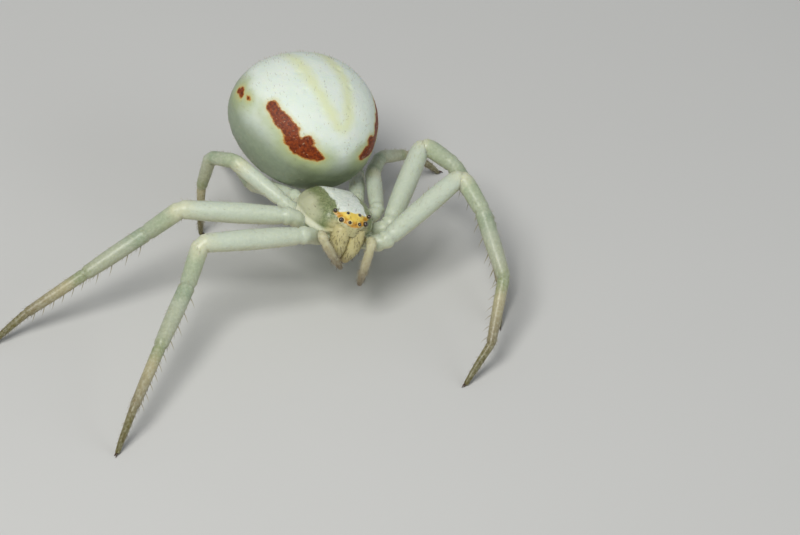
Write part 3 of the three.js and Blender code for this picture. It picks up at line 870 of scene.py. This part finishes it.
def build_legs():
    tubes = {name: leg_tube(name) for name in LEGS}
    for name, tube in tubes.items():
        solids = [f"{name}_{part}" for part in LEG_PARTS]
        piece(f"{name}_skin", tube.skin(), "leg", solids)
    return tubes


def egg(name, size, place, replaces=(), taper=0.0, axes=PROSOMA):
    """A plate or cushion of the underside: an ellipsoid narrowed towards the back."""
    left, forward, up = place

    def shape(unit):
        narrow = 1 - taper * smooth_step(-0.6, 1.0, unit.y)
        grain = 1 + 0.02 * noise.noise(unit * 3 + Vector((left, forward, up)))
        return Vector((unit.x * size[0] * narrow, unit.y * size[1], unit.z * size[2])) * grain

    bm = shaped_ball(48, 30, shape, axes @ Matrix.Translation((left, -forward, up)))
    piece(name, bm, "belly", replaces)


STALK_LINE = [(0, -1.2, -0.5), (0, -1.9, -0.5), (0, -2.6, -0.5)]
STALK_SKIN = [(0.25, 0.23, 0.0), (0.23, 0.26, 0.0)]


def build_underside():
    egg("sternum_plate", (0.68, 0.72, 0.29), (0, -0.1, -0.62), ["sternum"], 0.35)
    egg("soft_underside", (1.2, 1.4, 0.4), (0, 0.05, -0.12), (), -0.1, SHIELD)
    egg("labium", (0.13, 0.2, 0.1), (0, 0.78, -0.6))
    for name, side in SIDES.items():
        place = (side * 0.27, 0.84, -0.5)
        egg(f"mouth_plate_{name}", (0.18, 0.19, 0.18), place, [f"maxilla_{name}"], -0.2)
    stalk = Tube([in_body(*place) for place in STALK_LINE], STALK_SKIN, 0.08)
    piece("pedicel_skin", stalk.skin(), "belly", ["pedicel"])


def join_to(whole, bm):
    """Adds a shape to a larger one and frees it."""
    spare = bpy.data.meshes.new("spare")
    bm.to_mesh(spare)
    bm.free()
    whole.from_mesh(spare)
    bpy.data.meshes.remove(spare)


# Each pair: how far it starts inside the abdomen, its left, up, length and radius
SPINNERET_PAIRS = [
    (0.15, 0.2, 0.12, 0.42, 0.13), (0.15, 0.19, -0.13, 0.46, 0.14), (0.1, 0.08, 0.0, 0.35, 0.09),
]


def build_spinnerets():
    foot = Vector((0, SPINNERETS_BACK * ABDOMEN["length"], SPINNERETS_UP))
    droop = math.radians(SPINNERETS_DROOP)
    lean = Vector((0, math.cos(droop), -math.sin(droop)))
    whole = bmesh.new()
    for reach, spread, up, length, radius in SPINNERET_PAIRS:
        for side in SIDES.values():
            base = foot + Vector((side * spread, 0, up))
            tip = base + lean * length + Vector((-side * 0.05, 0, -up * 0.4))
            joints = [ABDOMEN_AXES @ p for p in (base - lean * reach, base.lerp(tip, 0.6), tip)]
            sizes = [(radius, radius * 0.9, 0.01), (radius * 0.8, radius * 0.4, 0.0)]
            join_to(whole, Tube(joints, sizes).skin())
    piece("spinneret_cluster", whole, "palp", ["spinnerets"])


class Coat:
    """Many bristles joined into one mesh. Each keeps its root's place on the skin's unwrap."""

    PATCH = 0.003  # a bristle's size there

    def __init__(self, seed):
        self.random = random.Random(seed)
        self.pattern, self.faces = self.one_bristle()
        self.points, self.polygons, self.spots, self.darks = [], [], [], []

    @staticmethod
    def one_bristle():
        """The points and faces of a cone of length 1, cut across so that it can bend."""
        bm = bmesh.new()
        bmesh.ops.create_cone(bm, cap_ends=True, segments=4, radius1=1.0, radius2=0.0, depth=1.0)
        bmesh.ops.translate(bm, vec=(0, 0, 0.5), verts=bm.verts)
        bmesh.ops.remove_doubles(bm, verts=bm.verts, dist=1e-5)
        for height in (0.3, 0.6, 0.85):
            whole = bm.verts[:] + bm.edges[:] + bm.faces[:]
            bmesh.ops.bisect_plane(bm, geom=whole, plane_co=(0, 0, height), plane_no=(0, 0, 1))
        bmesh.ops.recalc_face_normals(bm, faces=bm.faces)
        bm.verts.index_update()
        points = [vert.co.copy() for vert in bm.verts]
        faces = [[vert.index for vert in face.verts] for face in bm.faces]
        bm.free()
        return points, faces

    def jitter(self, amount):
        return Vector([self.random.gauss(0, amount) for _ in range(3)])

    def add(self, root, way, length, radius, bend, spot, dark):
        """A bristle from root along way, whose tip is carried off by the bend vector."""
        turn = way.to_track_quat("Z", "Y")
        first = len(self.points)
        start = root - way * radius
        for point in self.pattern:
            # Fuller than a cone, with a sharp tip
            full = (1 - point.z) ** -0.3 if point.z < 0.99 else 0.0
            own = Vector((point.x * radius * full, point.y * radius * full, point.z * length))
            place = start + turn @ own + bend * point.z**2
            self.points.append(place)
            self.spots.append((spot[0] + self.PATCH * point.x / 2, spot[1] + self.PATCH * (point.z - 0.5)))
            self.darks.append(dark)
        self.polygons += [[first + n for n in face] for face in self.faces]

    def build(self, name):
        mesh = bpy.data.meshes.new(name)
        mesh.from_pydata([point * MM for point in self.points], [], self.polygons)
        tones = mesh.attributes.new("dark", "FLOAT", "POINT")
        tones.data.foreach_set("value", self.darks)
        unwrap = mesh.uv_layers.new(name="OFBake")
        for loop in mesh.loops:
            unwrap.data[loop.index].uv = self.spots[loop.vertex_index]
        hang(name, mesh, "bristle")


FLOOR_CLEAR = 0.012  # a bristle whose tip would come lower is left out


def tube_hairs(coat, tube, count, length, radius, dark, shares=(0.06, 0.97), lean=0.6):
    """Fine hairs all round a limb that lean towards its tip."""
    for _ in range(count):
        turn = coat.random.uniform(0, 2 * math.pi)
        place, outward, onward, along = tube.spot(coat.random.uniform(*shares), turn)
        way = (outward + onward * lean + coat.jitter(0.15)).normalized()
        size = length * coat.random.uniform(0.6, 1.3)
        if place.z + way.z * size < FLOOR_CLEAR:
            continue
        spot = (0.02 + 0.96 * along, 0.02 + 0.96 * turn / (2 * math.pi))
        coat.add(place, way, size, radius, onward * size * 0.25, spot, dark * coat.random.uniform(0.6, 1.3))


SPINE_ROWS = ((3, 4, 0.42), (4, 6, 0.34))  # the leg's segment, its pairs of spines and their length


def leg_spines(coat, tube):
    """Two rows of stout spines under the tibia and metatarsus of the front legs."""
    for segment, pairs, size in SPINE_ROWS:
        stations = [station for station in tube.stations if station[5] == segment]
        for k in range(pairs):
            share = (k + 0.7) / (pairs + 0.4)
            place, across, rise, radius, along, *_ = stations[int(len(stations) * share)]
            way = rise.cross(across)
            under = rise if rise.z < 0 else -rise
            for side in SIDES.values():
                outward = (under + across * side * 0.45).normalized()
                lean = (outward + way * 0.9).normalized()
                root = place + outward * radius
                spot = (0.02 + 0.96 * along, 0.5 + 0.2 * side)
                if root.z + lean.z * size > FLOOR_CLEAR:
                    coat.add(root, lean, size, 0.02, way * 0.06, spot, 0.5)


CLAW_SKIN = [(0.035, 0.028, 0.0), (0.028, 0.008, 0.0)]
LOWEST_CLAW = 0.004


def foot_claws(name, tube):
    """Two dark claws at the end of a foot."""
    place, across, rise, radius, *_ = tube.stations[-1]
    way = rise.cross(across)
    level = Vector((way.x, way.y, 0)).normalized()
    whole = bmesh.new()
    for side in SIDES.values():
        start = place + across * side * radius * 0.45 + way * radius * 0.5
        knee = start + level * 0.1 + Vector((0, 0, 0.03))
        tip = knee + level * 0.08 + across * side * 0.02
        tip.z = 0.02
        knee.z = max(knee.z, 0.05)
        bm = Tube([start, knee, tip], CLAW_SKIN, 0.0).skin()
        for vert in bm.verts:
            vert.co.z = max(vert.co.z, LOWEST_CLAW)
        join_to(whole, bm)
    piece(f"{name}_claws", whole, "claw")


def build_leg_coats(tubes):
    for seed, (name, tube) in enumerate(tubes.items()):
        coat = Coat(100 + seed)
        long_leg = LEGS[name][0] is LONG_LEG
        tube_hairs(coat, tube, 420 if long_leg else 260, 0.14, 0.0055, 0.35)
        tube_hairs(coat, tube, 90, 0.12, 0.006, 0.8, (0.86, 0.985), 0.9)
        if long_leg:
            leg_spines(coat, tube)
        coat.build(f"{name}_hairs")
        foot_claws(name, tube)


def build_face_coats(jaws, palps):
    coat = Coat(7)
    for name, tube in jaws.items():
        for _ in range(130):
            turn = coat.random.uniform(0, 2 * math.pi)
            place, outward, onward, along = tube.spot(coat.random.uniform(0.12, 0.97), turn)
            own = SHIELD_INVERSE @ place
            if own.x * SIDES[name] < 0.04 or own.y > -1.35:
                continue
            way = (outward + onward * 0.9 + coat.jitter(0.12)).normalized()
            spot = ((1 + SIDES[name]) * 0.25 + 0.02 + 0.46 * turn / (2 * math.pi), 0.02 + 0.96 * along)
            size = coat.random.uniform(0.08, 0.16)
            coat.add(place, way, size, 0.009, onward * size * 0.4, spot, coat.random.uniform(0.85, 1.0))
    coat.build("jaw_bristles")
    for name, tube in palps.items():
        coat = Coat(20 + SIDES[name])
        tube_hairs(coat, tube, 150, 0.15, 0.006, 0.5, (0.15, 0.97))
        tube_hairs(coat, tube, 90, 0.12, 0.007, 0.9, (0.7, 0.98))
        coat.build(f"palp_hairs_{name}")


def shell_bristles(name, shape, axes, count, length, radius, dark, seed, keep):
    """Short bristles spread where keep allows over a shell, leaning back along the body."""
    coat = Coat(seed)
    turn = axes.to_3x3()
    nudge = 0.02
    while count:
        unit = coat.jitter(1).normalized()
        if not keep(unit):
            continue
        count -= 1
        here = shape(unit)
        east = unit.cross(Vector((0.1, 0.2, 1))).normalized() * nudge
        north = unit.cross(east).normalized() * nudge
        outward = (shape((unit + east).normalized()) - here).cross(shape((unit + north).normalized()) - here)
        if outward.dot(here) < 0:
            outward.negate()
        way = (turn @ (outward.normalized() + Vector((0, 0.5, 0)) + coat.jitter(0.15))).normalized()
        size = length * coat.random.uniform(0.6, 1.3)
        spot = (0.5 + math.atan2(unit.x, unit.y) / (2.1 * math.pi), 0.5 + 0.48 * unit.z)
        bend = turn @ Vector((0, size * 0.2, 0))
        coat.add(axes @ here, way, size, radius, bend, spot, dark * coat.random.uniform(0.7, 1.2))
    coat.build(name)


def build_shell_coats():
    shell_bristles("abdomen_bristles", abdomen_shape, ABDOMEN_AXES, 900, 0.1, 0.006, 0.35, 41,
                   lambda unit: unit.y > -0.9)
    shell_bristles("carapace_bristles", carapace_shape, SHIELD, 90, 0.13, 0.0075, 0.9, 43,
                   lambda unit: unit.z > 0.25)
    shell_bristles("face_bristles", carapace_shape, SHIELD, 46, 0.15, 0.008, 1.0, 44,
                   lambda unit: unit.y < -0.7 and -0.1 < unit.z < 0.5)


# The photo's camera: the direction from the spider to it, its roll, and where the rim's middle shows
VIEW_TURN = -17.73
VIEW_CLIMB = 42
VIEW_ROLL = 5
VIEW_WIDTH = 31.5
AIM_RIGHT = 2.421
AIM_UP = -2.028
LENS = 200
SENSOR = 36


def add_camera():
    back = heading(VIEW_TURN, VIEW_CLIMB)
    roll = math.radians(VIEW_ROLL)
    level_up = (Vector((0, 0, 1)) - back * back.z).normalized()
    level_right = level_up.cross(back)
    right = level_right * math.cos(roll) + level_up * math.sin(roll)
    rise = back.cross(right)
    aim = RIM_MIDDLE + right * AIM_RIGHT + rise * AIM_UP
    data = bpy.data.cameras.new("camera")
    data.lens = LENS
    data.sensor_width = SENSOR
    data.clip_start = 0.001
    data.clip_end = 10
    axes = Matrix((right, rise, back)).transposed().to_4x4()
    axes.translation = (aim + back * VIEW_WIDTH * LENS / SENSOR) * MM
    camera = add_object("camera", data)
    camera.matrix_world = axes
    bpy.context.scene.camera = camera


def add_light(name, place, size, power, colour):
    data = bpy.data.lights.new(name, "AREA")
    data.shape = "DISK"
    data.size = size
    data.energy = power
    data.color = colour
    light = add_object(name, data)
    light.location = place
    light.rotation_euler = (-Vector(place)).to_track_quat("-Z", "Y").to_euler()


def add_stage():
    """A pale floor, a soft sky and two lights, in metres and watts."""
    bm = bmesh.new()
    bmesh.ops.create_grid(bm, x_segments=1, y_segments=1, size=0.4)
    mesh = bpy.data.meshes.new("floor")
    bm.to_mesh(mesh)
    bm.free()
    floor = add_object("floor", mesh)
    made = Finish("pale_floor")
    place = made.place(Matrix.Identity(4))
    base = made.mix(made.noise(place, 0.05), tone(0.80, 0.80, 0.79), tone(0.82, 0.82, 0.81))
    mesh.materials.append(made.skin(base, 0.7, None))
    world = bpy.data.worlds.new("studio")
    world.use_nodes = True
    sky = world.node_tree.nodes["Background"].inputs
    sky["Color"].default_value = (0.92, 0.95, 1.0, 1)
    sky["Strength"].default_value = 0.25
    bpy.context.scene.world = world
    add_light("key", (-0.05, -0.05, 0.13), 0.07, 0.155, (1.0, 0.99, 0.96))
    add_light("fill", (0.12, -0.08, 0.07), 0.1, 0.035, (0.95, 0.98, 1.0))
    bpy.context.scene.view_settings.view_transform = "Standard"


build_shells()
build_eyes()
jaw_tubes = build_fangs_and_jaws()
palp_tubes = build_palps()
leg_tubes = build_legs()
build_underside()
build_spinnerets()
build_leg_coats(leg_tubes)
build_face_coats(jaw_tubes, palp_tubes)
build_shell_coats()
add_stage()
add_camera()
